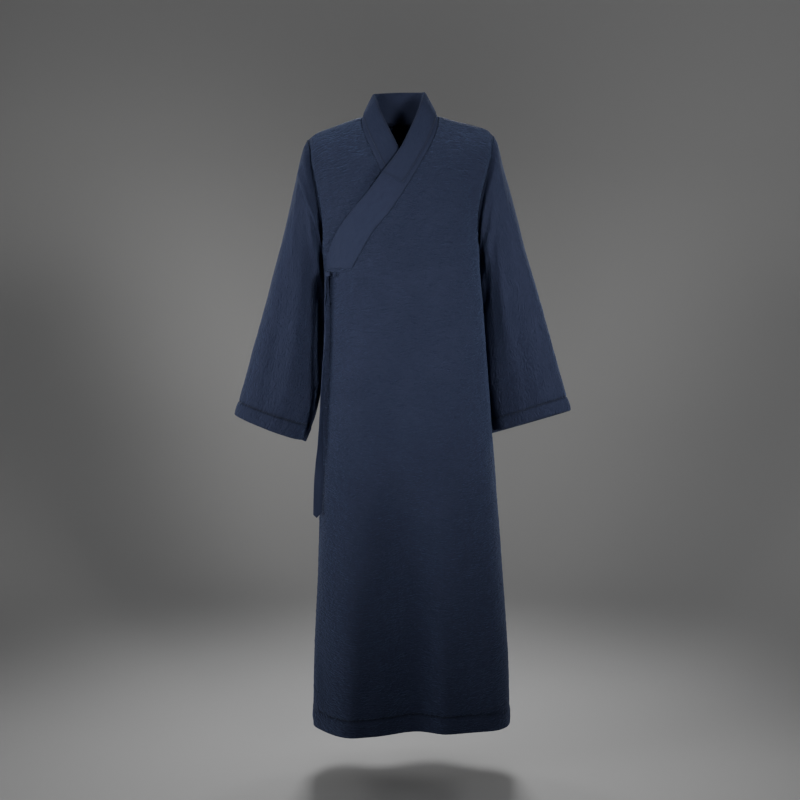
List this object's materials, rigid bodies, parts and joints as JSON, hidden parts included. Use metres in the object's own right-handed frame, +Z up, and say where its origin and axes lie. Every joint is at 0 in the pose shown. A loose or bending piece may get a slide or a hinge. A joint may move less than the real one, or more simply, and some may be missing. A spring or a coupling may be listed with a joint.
{
  "type": "taoist priest robe",
  "caption": "Long hollow robe with a crossed collar, worn pose: wide sleeves, a panel tied at the wearer's right side, a neck guard over the collar band, stitched hem and cuffs.",
  "frame": {"origin": "Midway between the two points where the collar meets the shoulder seams, at their height, where the wearer's shoulders hold the robe up", "axes": "+Z is up, the front faces -Y, and +X is the wearer's left"},
  "size_m": [0.7758, 0.2548, 1.4777],
  "materials": {
    "cloth": "matte crinkled cotton, lightly padded"
  },
  "bodies": {
    "root": {"front_over": "cloth", "front_under": "cloth", "back_left": "cloth", "back_right": "cloth", "sleeve_left": "cloth", "sleeve_right": "cloth", "collar_band": "cloth", "collar_guard": "cloth", "tie_long": "cloth", "tie_short": "cloth", "tie_knot": "cloth", "tie_loop": "cloth"}
  },
  "joints": []
}
